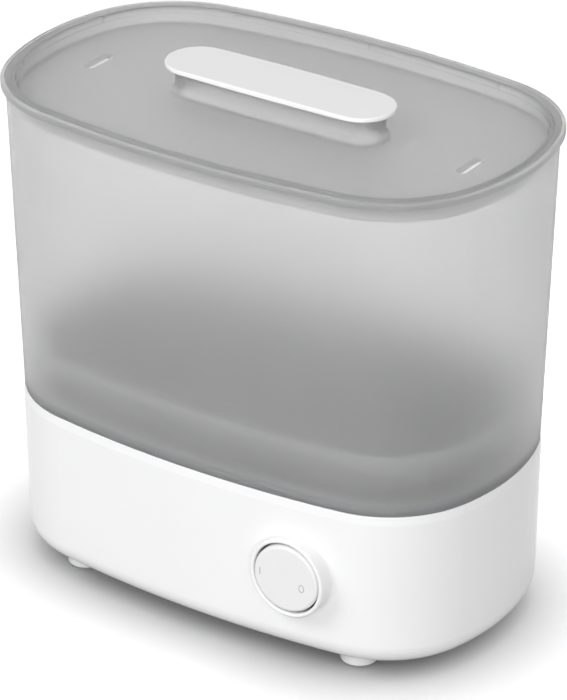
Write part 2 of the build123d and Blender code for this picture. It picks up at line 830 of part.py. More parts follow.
# Wire from the left end of the element back to the block
return_lead = lead([
    (-element_tab_x, -element_half_width, tab_end_z),
    (-element_tab_x, -element_half_width, tab_end_z - lead_straight),
    (-element_tab_x - lead_rise, -element_half_width + lead_swing, port_z + lead_aside),
    (-block_port_pitch, port_y - lead_reach, port_z),
    (-block_port_pitch, port_y, port_z),
])
return_lead.label = "return_lead"
export_step(return_lead, "parts/return_lead.step")

# Frosted sleeve: a foot ring on the base's shoulder, a leaning wall, and a stepped lip at the top
chamber_z = seam_z + seat_gap
lip_wall_inset = lip_overhang + chamber_wall
with BuildPart() as chamber:
    loft([
        outline(chamber_z, seam_inset),
        outline(lip_ledge_z, lip_overhang),
    ])
    fillet(chamber.edges().group_by(Axis.Z)[0], chamber_edge_fillet)
    extrude(outline(lip_under_z, 0), amount=lip_height)
    fillet(chamber.edges().group_by(Axis.Z)[-1], lip_fillet)
    lip_under_edges = chamber.edges().filter_by_position(
        Axis.Z, lip_under_z - pick_margin, lip_under_z + pick_margin
    )
    fillet(lip_under_edges.group_by(SortBy.LENGTH)[-1], chamber_edge_fillet)
    extrude(outline(lip_ledge_z, lip_width), amount=lip_height, mode=Mode.SUBTRACT)
    loft([
        outline(chamber_z + chamber_foot_height, seam_inset + chamber_wall),
        outline(lip_ledge_z, lip_wall_inset),
    ], mode=Mode.SUBTRACT)
    extrude(outline(chamber_z, chamber_foot_inset), amount=chamber_foot_height, mode=Mode.SUBTRACT)
chamber.part.label = "chamber"
export_step(chamber.part, "parts/chamber.step")

# Frosted lid. A groove inside the chamber's lip rises to a ridge, and from there a steep wall with
# one small step falls to the flat floor of the dish
lid_under_z = lip_ledge_z + seat_gap
lid_floor_z = lip_top_z - dish_depth
lid_rim_inset = lip_width + lid_fit
groove_z = lip_top_z - groove_depth
dish_top_inset = ridge_inset + ridge_width
dish_step_inset = dish_top_inset + dish_upper_run
dish_step_z = lip_top_z - dish_step_depth
dish_lower_inset = dish_step_inset + dish_step_width
dish_floor_inset = dish_lower_inset + dish_lower_run
skirt_inset = lip_wall_inset + skirt_gap
skirt_foot_inset = skirt_inset + skirt_lean
skirt_inner_inset = skirt_foot_inset + skirt_width
skirt_z = lid_floor_z - lid_sheet - skirt_drop
cap_z = lid_floor_z + pedestal_height


def post_places():
    """Places of the three posts that join the cap to the pedestal."""
    return GridLocations(cap_post_spacing, 0, 3, 1)


# Ring that is cut from the lid's rim to leave the groove
with BuildPart() as lid_groove:
    loft([
        outline(groove_z, groove_floor_inset),
        outline(lip_top_z, lip_width),
    ])
    loft([
        outline(groove_z, groove_floor_inset + groove_floor_width),
        outline(lip_top_z, ridge_inset),
    ], mode=Mode.SUBTRACT)

with BuildPart() as lid:
    extrude(outline(lid_under_z, lid_rim_inset), amount=lip_top_z - lid_under_z)
    loft([
        outline(skirt_z, skirt_foot_inset),
        outline(lid_under_z, skirt_inset),
    ])
    extrude(outline(skirt_z, skirt_inner_inset), amount=skirt_drop, mode=Mode.SUBTRACT)
    loft([
        outline(lid_floor_z, dish_floor_inset),
        outline(dish_step_z, dish_lower_inset),
    ], mode=Mode.SUBTRACT)
    fillet(lid.edges().filter_by_position(
        Axis.Z, lid_floor_z - pick_margin, lid_floor_z + pick_margin
    ), dish_fillet)
    loft([
        outline(dish_step_z, dish_step_inset),
        outline(lip_top_z, dish_top_inset),
    ], mode=Mode.SUBTRACT)
    add(lid_groove.part, mode=Mode.SUBTRACT)
    fillet(lid.edges().filter_by_position(
        Axis.Z, lip_top_z - pick_margin, lip_top_z + pick_margin
    ), ridge_fillet)
    rib_length = dish_step_width + rib_reach
    rib_inset = dish_step_inset + dish_step_width - rib_length / 2
    rib_turn = degrees(asin(rib_side_x / front_radius))
    with BuildSketch(Plane.XY.offset(dish_step_z)):
        rib_angle = rib_end_share * end_turn
        reach = end_radius - rib_inset
        rib_x = half_length - end_radius + reach * cos(radians(rib_angle))
        rib_y = reach * sin(radians(rib_angle))
        with Locations(Location((rib_x, rib_y, 0), rib_angle)):
            Rectangle(rib_length, rib_thickness)
        with Locations(Location((rib_side_x, side_y(rib_side_x, rib_inset), 0), -rib_turn)):
            Rectangle(rib_thickness, rib_length)
        with Locations((0, side_y(0, rib_inset))):
            Rectangle(rib_thickness, rib_length)
        mirror(about=Plane.XZ)
        mirror(about=Plane.YZ)
    extrude(amount=rib_height)
    extrude(pill(lid_floor_z - lid_sheet, pedestal_half_length, pedestal_half_width, cap_bulge),
            amount=lid_sheet + pedestal_height)
    pedestal_root = lid.edges().filter_by_position(
        Axis.Z, lid_floor_z - pick_margin, lid_floor_z + pick_margin
    ).filter_by_position(
        Axis.X, -pedestal_half_length, pedestal_half_length
    ).filter_by_position(
        Axis.Y, -pedestal_half_width, pedestal_half_width
    )
    fillet(pedestal_root, pedestal_fillet)
    extrude(pill(lid_floor_z - lid_sheet, pedestal_half_length - pedestal_wall,
                 pedestal_half_width - pedestal_wall, cap_bulge),
            amount=lid_sheet + pedestal_height - pedestal_wall, mode=Mode.SUBTRACT)
    with BuildSketch(Plane.XY.offset(cap_z)):
        with post_places():
            Circle(cap_post_radius + cap_post_gap)
    extrude(amount=-pedestal_wall, mode=Mode.SUBTRACT)
    slot_mouth_length = slot_length + 2 * slot_recess_margin
    slot_mouth_width = slot_width + 2 * slot_recess_margin
    for slot_x in (slot_from_end - half_length, half_length - slot_from_end):
        with BuildSketch(Plane.XY.offset(lid_floor_z)) as slot_mouth:
            with Locations((slot_x, 0)):
                SlotOverall(slot_mouth_length, slot_mouth_width, rotation=90)
        with BuildSketch(Plane.XY.offset(lid_floor_z - slot_recess_depth)) as slot_throat:
            with Locations((slot_x, 0)):
                SlotOverall(slot_length, slot_width, rotation=90)
        loft([slot_mouth.sketch, slot_throat.sketch], mode=Mode.SUBTRACT)
        extrude(slot_throat.sketch, amount=slot_recess_depth - lid_sheet, mode=Mode.SUBTRACT)
lid.part.label = "lid"
export_step(lid.part, "parts/lid.step")

# White grip cap, crowned along its length, with three posts down through the pedestal's top
with BuildPart() as handle_cap:
    extrude(pill(cap_z, cap_half_length, cap_half_width, cap_bulge), amount=cap_thickness + cap_crown)
    with BuildSketch(Plane.XZ):
        with BuildLine():
            Polyline(
                (-cap_half_length, cap_z + cap_thickness),
                (-cap_half_length, cap_z),
                (cap_half_length, cap_z),
                (cap_half_length, cap_z + cap_thickness),
            )
            ThreePointArc(
                (cap_half_length, cap_z + cap_thickness),
                (0, cap_z + cap_thickness + cap_crown),
                (-cap_half_length, cap_z + cap_thickness),
            )
        make_face()
    extrude(amount=cap_half_width, both=True, mode=Mode.INTERSECT)
    fillet(handle_cap.faces().sort_by(Axis.Z)[-1].edges(), cap_top_fillet)
    fillet(handle_cap.faces().sort_by(Axis.Z)[0].edges(), cap_bottom_fillet)
    with BuildSketch(Plane.XY.offset(cap_z)):
        with post_places():
            Circle(cap_post_radius)
    extrude(amount=-pedestal_wall)
    with BuildSketch(Plane.XY.offset(cap_z - pedestal_wall)):
        with post_places():
            Circle(handle_screw_radius + thread_fit)
    extrude(amount=handle_screw_reach, mode=Mode.SUBTRACT)
handle_cap.part.label = "handle_cap"
export_step(handle_cap.part, "parts/handle_cap.step")

# Screws up into the posts, with wide heads under the pedestal's top
with BuildPart() as handle_screws:
    with BuildSketch(Plane.XY.offset(cap_z - pedestal_wall)):
        with post_places():
            Circle(handle_head_radius)
    extrude(amount=-handle_head_height)
    with BuildSketch(Plane.XY.offset(cap_z - pedestal_wall)):
        with post_places():
            Circle(handle_screw_radius)
    extrude(amount=handle_screw_reach)
handle_screws.part.label = "handle_screws"
export_step(handle_screws.part, "parts/handle_screws.step")

# Basket for the bottles: a slotted floor over the water, leaning walls with upright slots, and a
# flange that rests on the base's spigot ring
basket_z = ledge_z + basket_floor_rise
basket_floor_inset = bowl_inset_at(basket_z) + basket_clearance
basket_rim_inset = chamber_foot_inset + basket_clearance
basket_flange_z = spigot_top_z + seat_gap
slot_field_x = half_length - floor_margin - basket_floor_inset
slot_field_y = half_depth - floor_margin - basket_floor_inset
slot_columns = int(2 * slot_field_x / basket_slot_pitch)
slot_rows = int(2 * slot_field_y / basket_row_pitch)
side_columns = int(2 * slot_field_x / basket_side_slot_pitch)
with BuildPart() as bottle_basket:
    loft([
        outline(basket_z, basket_floor_inset),
        outline(basket_z + basket_height, basket_rim_inset),
    ])
    extrude(outline(basket_flange_z, spigot_inset + basket_flange_inset), amount=basket_flange_thickness)
    loft([
        outline(basket_z + basket_wall, basket_floor_inset + basket_wall),
        outline(basket_z + basket_height, basket_rim_inset + basket_wall),
    ], mode=Mode.SUBTRACT)
    with BuildSketch(Plane.XY.offset(basket_z)):
        with GridLocations(basket_slot_pitch, basket_row_pitch, slot_columns, slot_rows):
            SlotOverall(basket_slot_length, basket_slot_width, rotation=90)
    extrude(amount=basket_wall, mode=Mode.SUBTRACT)
    side_slot_z = (basket_flange_z + basket_flange_thickness + basket_z + basket_height) / 2
    with BuildSketch(Plane.XZ):
        with Locations((0, side_slot_z)):
            with GridLocations(basket_side_slot_pitch, 0, side_columns, 1):
                SlotOverall(basket_side_slot_height, basket_slot_width, rotation=90)
    extrude(amount=half_depth, both=True, mode=Mode.SUBTRACT)
bottle_basket.part.label = "bottle_basket"
export_step(bottle_basket.part, "parts/bottle_basket.step")
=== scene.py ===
from math import cos, pi, radians, sin

import bpy
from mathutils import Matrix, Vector


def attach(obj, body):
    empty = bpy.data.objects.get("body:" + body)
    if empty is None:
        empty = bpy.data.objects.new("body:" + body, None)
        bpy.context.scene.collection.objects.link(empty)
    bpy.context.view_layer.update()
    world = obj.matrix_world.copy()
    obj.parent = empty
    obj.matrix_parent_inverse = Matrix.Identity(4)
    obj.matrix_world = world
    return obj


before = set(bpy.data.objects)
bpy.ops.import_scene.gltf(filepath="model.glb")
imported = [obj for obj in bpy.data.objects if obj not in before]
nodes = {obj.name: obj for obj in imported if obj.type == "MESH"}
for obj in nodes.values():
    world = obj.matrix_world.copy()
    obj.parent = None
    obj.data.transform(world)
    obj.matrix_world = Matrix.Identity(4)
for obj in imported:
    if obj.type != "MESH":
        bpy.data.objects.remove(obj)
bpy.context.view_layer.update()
scene = bpy.context.scene
scene.view_settings.view_transform = "Standard"

# Camera: a long lens that looks down on the front and the right end, as in the photograph.
# Its place and lens were solved from the rim and the seam of the chamber.
looks_down = radians(27.3649)
turned_left = radians(34.2193)
camera_data = bpy.data.cameras.new("camera")
camera_data.lens = 204.88
camera_data.sensor_width = 36
camera_data.shift_x = 0.00559
camera_data.shift_y = -0.02453
camera_data.clip_end = 30
camera = bpy.data.objects.new("camera", camera_data)
camera.location = (1.00832, -1.48260, 1.06429)
camera.rotation_euler = (pi / 2 - looks_down, 0, turned_left)
bpy.context.collection.objects.link(camera)
scene.camera = camera


# Table: a smooth board with a white paint, wide enough to fill the view. The tent's soft shadow of
# the sterilizer lies on it, and painted shade deepens it near the object, most under the base. To
# the camera and in reflections the open board is as white as the studio behind it.
def linear(hex_code):
    """A colour written as sRGB hex, as the linear colour that shaders take."""
    channels = [int(hex_code[place:place + 2], 16) / 255 for place in (1, 3, 5)]
    curve = [c / 12.92 if c <= 0.04045 else ((c + 0.055) / 1.055) ** 2.4 for c in channels]
    return (*curve, 1)


def spacing(millimetres):
    """The scale of a noise whose features lie so many millimetres apart."""
    return 1000 / millimetres


def new_material(name):
    """An empty material, and its node tree."""
    material = bpy.data.materials.new(name)
    material.use_nodes = True
    material.node_tree.nodes.clear()
    return material, material.node_tree


def add_node(tree, kind, settings=None, inputs=None):
    """Adds one shader node with its settings, and its inputs as plain values or links."""
    made = tree.nodes.new(kind)
    for name, value in (settings or {}).items():
        setattr(made, name, value)
    for name, value in (inputs or {}).items():
        if isinstance(value, bpy.types.NodeSocket):
            tree.links.new(value, made.inputs[name])
        else:
            made.inputs[name].default_value = value
    return made


table_width = 12
painted_shade_reach = 0.05
open_glow = 0.58

table_paint, tree = new_material("white painted board")
place = add_node(tree, "ShaderNodeTexCoord").outputs["Object"]
# The roller leaves a faint stipple, which only tints the light that the board throws back.
roller = add_node(tree, "ShaderNodeTexNoise", inputs={
    "Vector": place, "Scale": spacing(16.7), "Detail": 2.0})
tone = add_node(tree, "ShaderNodeMix", {"data_type": "RGBA"}, {
    "Factor": roller.outputs["Fac"], "A": linear("#D8D8D8"), "B": linear("#DCDCDC")})
path = add_node(tree, "ShaderNodeLightPath")
direct = add_node(tree, "ShaderNodeMath", {"operation": "MAXIMUM"}, {
    0: path.outputs["Is Camera Ray"], 1: path.outputs["Is Transmission Ray"]})
seen = add_node(tree, "ShaderNodeMath", {"operation": "MAXIMUM"}, {
    0: direct.outputs["Value"], 1: path.outputs["Is Glossy Ray"]})
# Painted shade: an occlusion mask darkens the board's white near the object and dims its glow
# there.
openness = add_node(tree, "ShaderNodeAmbientOcclusion", {"samples": 8}, {
    "Distance": painted_shade_reach}).outputs["AO"]
shade = add_node(tree, "ShaderNodeMix", {"data_type": "RGBA"}, {
    "Factor": openness, "A": linear("#9C9C9C"), "B": linear("#FFFFFF")})
paint = add_node(tree, "ShaderNodeMix", {"data_type": "RGBA"}, {
    "Factor": seen.outputs["Value"], "A": tone.outputs["Result"], "B": shade.outputs["Result"]})
open_share = add_node(tree, "ShaderNodeMath", {"operation": "MULTIPLY"}, {
    0: seen.outputs["Value"], 1: openness})
glow = add_node(tree, "ShaderNodeMath", {"operation": "MULTIPLY"}, {
    0: open_share.outputs["Value"], 1: open_glow})
board = add_node(tree, "ShaderNodeBsdfPrincipled", inputs={
    "Base Color": paint.outputs["Result"], "Roughness": 0.9, "Specular IOR Level": 0.2,
    "Emission Color": linear("#FFFFFF"), "Emission Strength": glow.outputs["Value"]})
add_node(tree, "ShaderNodeOutputMaterial", inputs={"Surface": board.outputs["BSDF"]})

bpy.ops.object.select_all(action="DESELECT")
bpy.ops.mesh.primitive_grid_add(
    x_subdivisions=4, y_subdivisions=4, size=table_width, location=(0, 0, 0))
table_top = bpy.context.object
table_top.name = "table_top"
bpy.ops.object.transform_apply()
table_top.data.materials.append(table_paint)

# Studio: a pale tent all round, two soft boxes in front of the object, the left one higher, and a
# weak one above. Flags keep the front boxes off the table, so that only the tent's soft shadow and
# the table's painted shade lie there. What the camera sees of the tent, also through frosted walls,
# is white.
studio = bpy.data.worlds.new("studio")
scene.world = studio
studio.use_nodes = True
tree = studio.node_tree
tree.nodes.clear()
path = add_node(tree, "ShaderNodeLightPath")
seen = add_node(tree, "ShaderNodeMath", {"operation": "MAXIMUM"}, {
    0: path.outputs["Is Camera Ray"], 1: path.outputs["Is Transmission Ray"]})
tent = add_node(tree, "ShaderNodeBackground", inputs={
    "Color": linear("#FFFFFF"), "Strength": 0.5})
backdrop = add_node(tree, "ShaderNodeBackground", inputs={
    "Color": linear("#FFFFFF"), "Strength": 1.0})
mixed = add_node(tree, "ShaderNodeMixShader", inputs={
    "Fac": seen.outputs["Value"], 1: tent.outputs["Background"], 2: backdrop.outputs["Background"]})
add_node(tree, "ShaderNodeOutputWorld", inputs={"Surface": mixed.outputs["Shader"]})

flagged = bpy.data.collections.new("flagged_from_front_boxes")
flagged.objects.link(table_top)
flagged.collection_objects[0].light_linking.link_state = "EXCLUDE"
# Each box faces the lower middle of the chamber: its name, width, power, place and flag
aim = Vector((0, 0, 0.15))
for name, width, power, spot, receivers in (
    ("soft_box_left", 1.2, 20.5, Vector((-0.78, -1.67, 1.69)), flagged),
    ("soft_box_right", 1.4, 26.5, Vector((1.20, -1.90, 0.97)), flagged),
    ("soft_box_above", 1.6, 3, Vector((0.0, 0.3, 2.2)), None),
):
    lamp = bpy.data.lights.new(name, "AREA")
    lamp.size = width
    lamp.energy = power
    stand = bpy.data.objects.new(name, lamp)
    stand.location = spot
    stand.rotation_euler = (spot - aim).to_track_quat("Z", "Y").to_euler()
    stand.light_linking.receiver_collection = receivers
    bpy.context.collection.objects.link(stand)


# Base housing: one injection moulding in white ABS that carries everything, with its outside
# polished in the mould. The gloss has a slight orange peel, and the flow of the melt leaves the
# white and the gloss a little uneven.
def dress(material, *names):
    """Gives CAD nodes a material in their own slots."""
    for name in names:
        for slot in nodes[name].material_slots:
            slot.material = material


micron = 0.000001

polished_abs, tree = new_material("polished injection moulded ABS")
place = add_node(tree, "ShaderNodeTexCoord").outputs["Object"]
flow = add_node(tree, "ShaderNodeTexNoise", inputs={
    "Vector": place, "Scale": spacing(55.6), "Detail": 2.0}).outputs["Fac"]
white = add_node(tree, "ShaderNodeMix", {"data_type": "RGBA"}, {
    "Factor": flow, "A": linear("#F2F2F3"), "B": linear("#F6F6F6")})
gloss = add_node(tree, "ShaderNodeMapRange", inputs={"Value": flow, "To Min": 0.17, "To Max": 0.25})
# Waves of 4 mm, seen only in the reflections
peel = add_node(tree, "ShaderNodeTexNoise", inputs={
    "Vector": place, "Scale": spacing(4), "Detail": 1.0})
ripple = add_node(tree, "ShaderNodeBump", inputs={
    "Strength": 0.2, "Distance": 20 * micron, "Height": peel.outputs["Fac"]})
shell = add_node(tree, "ShaderNodeBsdfPrincipled", inputs={
    "Base Color": white.outputs["Result"], "Roughness": gloss.outputs["Result"],
    "IOR": 1.53, "Normal": ripple.outputs["Normal"]})
add_node(tree, "ShaderNodeOutputMaterial", inputs={"Surface": shell.outputs["BSDF"]})
dress(polished_abs, "base_housing")

# Cover and feet: white ABS mouldings with a fine spark eroded grain, which hides scratches on the
# underside. The cover closes the base, and each foot is clamped under it by one screw.
grained_abs, tree = new_material("fine grained moulded ABS")
place = add_node(tree, "ShaderNodeTexCoord").outputs["Object"]
flow = add_node(tree, "ShaderNodeTexNoise", inputs={
    "Vector": place, "Scale": spacing(33.3), "Detail": 3.0}).outputs["Fac"]
white = add_node(tree, "ShaderNodeMix", {"data_type": "RGBA"}, {
    "Factor": flow, "A": linear("#E8E8E9"), "B": linear("#EEEEEE")})
matt = add_node(tree, "ShaderNodeMapRange", inputs={"Value": flow, "To Min": 0.4, "To Max": 0.5})
# The real grain is about 0.1 mm, drawn at 0.4 mm so that it shows
pits = add_node(tree, "ShaderNodeTexNoise", inputs={
    "Vector": place, "Scale": spacing(0.4), "Detail": 2.0})
grain = add_node(tree, "ShaderNodeBump", inputs={
    "Strength": 0.35, "Distance": 20 * micron, "Height": pits.outputs["Fac"]})
shell = add_node(tree, "ShaderNodeBsdfPrincipled", inputs={
    "Base Color": white.outputs["Result"], "Roughness": matt.outputs["Result"],
    "IOR": 1.53, "Normal": grain.outputs["Normal"]})
add_node(tree, "ShaderNodeOutputMaterial", inputs={"Surface": shell.outputs["BSDF"]})
dress(grained_abs, "base_cover", "feet")

# Foot pads: punched discs of soft grey rubber, glued into the feet so that the base doesn't slide.
# Their faces are dull, with the fine cloth dust that rubber picks up.
pad_rubber, tree = new_material("soft grey rubber")
place = add_node(tree, "ShaderNodeTexCoord").outputs["Object"]
bloom = add_node(tree, "ShaderNodeTexNoise", inputs={
    "Vector": place, "Scale": spacing(6.67), "Detail": 4.0}).outputs["Fac"]
grey = add_node(tree, "ShaderNodeMix", {"data_type": "RGBA"}, {
    "Factor": bloom, "A": linear("#85878A"), "B": linear("#97999B")})
dull = add_node(tree, "ShaderNodeMapRange", inputs={"Value": bloom, "To Min": 0.7, "To Max": 0.9})
# The real tooth is finer than 0.1 mm, drawn at 0.3 mm so that it shows
crumb = add_node(tree, "ShaderNodeTexNoise", inputs={
    "Vector": place, "Scale": spacing(0.3), "Detail": 2.0})
tooth = add_node(tree, "ShaderNodeBump", inputs={
    "Strength": 0.5, "Distance": 40 * micron, "Height": crumb.outputs["Fac"]})
shell = add_node(tree, "ShaderNodeBsdfPrincipled", inputs={
    "Base Color": grey.outputs["Result"], "Roughness": dull.outputs["Result"],
    "IOR": 1.5, "Normal": tooth.outputs["Normal"]})
add_node(tree, "ShaderNodeOutputMaterial", inputs={"Surface": shell.outputs["BSDF"]})
dress(pad_rubber, "foot_pads")

# Foot screws: cold headed steel with a bright zinc plating, driven up through each foot and the
# cover into the housing's bosses. The plating is clouded and a little blue.
zinc_steel, tree = new_material("bright zinc plated steel")
place = add_node(tree, "ShaderNodeTexCoord").outputs["Object"]
cloud = add_node(tree, "ShaderNodeTexNoise", inputs={
    "Vector": place, "Scale": spacing(1.43), "Detail": 3.0}).outputs["Fac"]
zinc = add_node(tree, "ShaderNodeMix", {"data_type": "RGBA"}, {
    "Factor": cloud, "A": linear("#AEB4BC"), "B": linear("#CDCFCF")})
sheen = add_node(tree, "ShaderNodeMapRange", inputs={
    "Value": cloud, "To Min": 0.25, "To Max": 0.42})
shell = add_node(tree, "ShaderNodeBsdfPrincipled", inputs={
    "Base Color": zinc.outputs["Result"], "Metallic": 1.0, "Roughness": sheen.outputs["Result"]})
add_node(tree, "ShaderNodeOutputMaterial", inputs={"Surface": shell.outputs["BSDF"]})
dress(zinc_steel, "foot_screws")

# Heating plate: a shallow pan pressed from brushed stainless sheet, with studs welded under its
# rim. The brushing runs along the pan, and boiled water has left faint cloudy scale on it.
brushed_stainless, tree = new_material("brushed stainless steel")
place = add_node(tree, "ShaderNodeTexCoord").outputs["Object"]
# Brush lines 40 mm long, drawn a third of a millimetre wide so that they show
drawn = add_node(tree, "ShaderNodeMapping", inputs={
    "Vector": place, "Scale": (spacing(40), spacing(1 / 3), spacing(1 / 3))}).outputs["Vector"]
lines = add_node(tree, "ShaderNodeTexNoise", inputs={
    "Vector": drawn, "Scale": 1.0, "Detail": 3.0}).outputs["Fac"]
scale_marks = add_node(tree, "ShaderNodeTexNoise", inputs={
    "Vector": place, "Scale": spacing(22.2), "Detail": 5.0, "Roughness": 0.6})
scale_film = add_node(tree, "ShaderNodeMapRange", inputs={
    "Value": scale_marks.outputs["Fac"], "From Min": 0.52, "From Max": 0.75, "To Max": 0.5})
bare = add_node(tree, "ShaderNodeMix", {"data_type": "RGBA"}, {
    "Factor": lines, "A": linear("#B4B2AF"), "B": linear("#CFCDCA")})
steel = add_node(tree, "ShaderNodeMix", {"data_type": "RGBA"}, {
    "Factor": scale_film.outputs["Result"], "A": bare.outputs["Result"], "B": linear("#D9D8D5")})
haze = add_node(tree, "ShaderNodeMapRange", inputs={"Value": lines, "To Min": 0.24, "To Max": 0.36})
dulled = add_node(tree, "ShaderNodeMath", {"operation": "MULTIPLY_ADD"}, {
    0: scale_film.outputs["Result"], 1: 0.4, 2: haze.outputs["Result"]})
strokes = add_node(tree, "ShaderNodeBump", inputs={
    "Strength": 0.3, "Distance": 10 * micron, "Height": lines})
shell = add_node(tree, "ShaderNodeBsdfPrincipled", inputs={
    "Base Color": steel.outputs["Result"], "Metallic": 1.0, "Roughness": dulled.outputs["Value"],
    "Normal": strokes.outputs["Normal"]})
add_node(tree, "ShaderNodeOutputMaterial", inputs={"Surface": shell.outputs["BSDF"]})
dress(brushed_stainless, "heating_plate")

# Plate seal and nuts: a ring of food grade silicone under the pan's rim keeps the water in, and
# plated nuts on the studs draw the pan down on it. The silicone is smooth and slightly clear.
ring_silicone, tree = new_material("translucent white silicone")
place = add_node(tree, "ShaderNodeTexCoord").outputs["Object"]
milk = add_node(tree, "ShaderNodeTexNoise", inputs={
    "Vector": place, "Scale": spacing(12.5), "Detail": 3.0}).outputs["Fac"]
pale = add_node(tree, "ShaderNodeMix", {"data_type": "RGBA"}, {
    "Factor": milk, "A": linear("#D3D5D6"), "B": linear("#DEDFDF")})
satin = add_node(tree, "ShaderNodeMapRange", inputs={"Value": milk, "To Min": 0.38, "To Max": 0.5})
shell = add_node(tree, "ShaderNodeBsdfPrincipled", inputs={
    "Base Color": pale.outputs["Result"], "Roughness": satin.outputs["Result"], "IOR": 1.41,
    "Subsurface Weight": 0.3, "Subsurface Radius": (1.0, 1.0, 1.0), "Subsurface Scale": 0.001})
add_node(tree, "ShaderNodeOutputMaterial", inputs={"Surface": shell.outputs["BSDF"]})
dress(ring_silicone, "plate_seal")
dress(zinc_steel, "plate_nuts")

# Heat spreader: an aluminium plate cast round the element and pressed against the pan's underside.
# Its skin is grey and open, as a sand casting's is after a light blast.
cast_aluminium, tree = new_material("blasted cast aluminium")
place = add_node(tree, "ShaderNodeTexCoord").outputs["Object"]
skin = add_node(tree, "ShaderNodeTexNoise", inputs={
    "Vector": place, "Scale": spacing(1.11), "Detail": 4.0}).outputs["Fac"]
patch = add_node(tree, "ShaderNodeTexNoise", inputs={
    "Vector": place, "Scale": spacing(16.7), "Detail": 3.0}).outputs["Fac"]
alloy = add_node(tree, "ShaderNodeMix", {"data_type": "RGBA"}, {
    "Factor": patch, "A": linear("#A9ABAD"), "B": linear("#C6C8C9")})
rough = add_node(tree, "ShaderNodeMapRange", inputs={"Value": skin, "To Min": 0.45, "To Max": 0.65})
cast = add_node(tree, "ShaderNodeBump", inputs={
    "Strength": 0.6, "Distance": 80 * micron, "Height": skin})
shell = add_node(tree, "ShaderNodeBsdfPrincipled", inputs={
    "Base Color": alloy.outputs["Result"], "Metallic": 1.0, "Roughness": rough.outputs["Result"],
    "Normal": cast.outputs["Normal"]})
add_node(tree, "ShaderNodeOutputMaterial", inputs={"Surface": shell.outputs["BSDF"]})
dress(cast_aluminium, "heater_carrier")

# Heating element: a tubular sheath of alloy steel bent to the pan's shape. Its first heats have
# oxidised it to a dull brown grey with darker stretches.
oxidised_sheath, tree = new_material("oxidised element sheath")
place = add_node(tree, "ShaderNodeTexCoord").outputs["Object"]
temper = add_node(tree, "ShaderNodeTexNoise", inputs={
    "Vector": place, "Scale": spacing(14.3), "Detail": 4.0}).outputs["Fac"]
oxide = add_node(tree, "ShaderNodeMix", {"data_type": "RGBA"}, {
    "Factor": temper, "A": linear("#4A4643"), "B": linear("#837C74")})
dry = add_node(tree, "ShaderNodeMapRange", inputs={"Value": temper, "To Min": 0.4, "To Max": 0.62})
shell = add_node(tree, "ShaderNodeBsdfPrincipled", inputs={
    "Base Color": oxide.outputs["Result"], "Metallic": 0.9, "Roughness": dry.outputs["Result"]})
add_node(tree, "ShaderNodeOutputMaterial", inputs={"Surface": shell.outputs["BSDF"]})
dress(oxidised_sheath, "heating_element")

# Element tabs: flat blades stamped from brass strip and welded to the element's cold ends, for
# push on terminals. The faces keep fine rolling lines, and the yellow has begun to darken.
stamped_brass, tree = new_material("stamped brass strip")
place = add_node(tree, "ShaderNodeTexCoord").outputs["Object"]
# Rolling lines drawn 0.4 mm apart, coarser than the real ones, so that they show
rolled = add_node(tree, "ShaderNodeMapping", inputs={
    "Vector": place, "Scale": (spacing(0.4), spacing(16.7), spacing(0.4))}).outputs["Vector"]
rolling = add_node(tree, "ShaderNodeTexNoise", inputs={
    "Vector": rolled, "Scale": 1.0, "Detail": 2.0}).outputs["Fac"]
brass = add_node(tree, "ShaderNodeMix", {"data_type": "RGBA"}, {
    "Factor": rolling, "A": linear("#C09A55"), "B": linear("#DDBE7C")})
worn = add_node(tree, "ShaderNodeMapRange", inputs={
    "Value": rolling, "To Min": 0.25, "To Max": 0.4})
shell = add_node(tree, "ShaderNodeBsdfPrincipled", inputs={
    "Base Color": brass.outputs["Result"], "Metallic": 1.0, "Roughness": worn.outputs["Result"]})
add_node(tree, "ShaderNodeOutputMaterial", inputs={"Surface": shell.outputs["BSDF"]})
dress(stamped_brass, "element_tabs")

# Thermostats: two discs of dark phenolic, one to switch the element and one to cut it out, held to
# the spreader by a plated strap and its screws. The filler shows as a fine brown speckle.
phenolic, tree = new_material("matt filled phenolic")
place = add_node(tree, "ShaderNodeTexCoord").outputs["Object"]
filler = add_node(tree, "ShaderNodeTexNoise", inputs={
    "Vector": place, "Scale": spacing(0.714), "Detail": 3.0}).outputs["Fac"]
speck = add_node(tree, "ShaderNodeMapRange", inputs={
    "Value": filler, "From Min": 0.5, "From Max": 0.7})
dark = add_node(tree, "ShaderNodeMix", {"data_type": "RGBA"}, {
    "Factor": speck.outputs["Result"], "A": linear("#1E1D1E"), "B": linear("#3A3431")})
flat = add_node(tree, "ShaderNodeMapRange", inputs={"Value": filler, "To Min": 0.42, "To Max": 0.6})
shell = add_node(tree, "ShaderNodeBsdfPrincipled", inputs={
    "Base Color": dark.outputs["Result"], "Roughness": flat.outputs["Result"], "IOR": 1.6})
add_node(tree, "ShaderNodeOutputMaterial", inputs={"Surface": shell.outputs["BSDF"]})
dress(phenolic, "thermostats")
dress(zinc_steel, "thermostat_clamp", "clamp_screws")

# Switch: a phenolic body screwed behind the collar, with two brass tabs at its rear. The rocker
# turns on two steel pins in the collar and presses a white plunger into the body.
dress(phenolic, "switch_module")
dress(stamped_brass, "switch_tabs")
dress(zinc_steel, "module_screws", "rocker_pins")
dress(grained_abs, "switch_plunger")

# Rocker disc: a round white moulding that tilts in the collar, with the same fine grain as the
# feet. Its off side, on the right, lies pressed in.
dress(grained_abs, "switch_rocker")

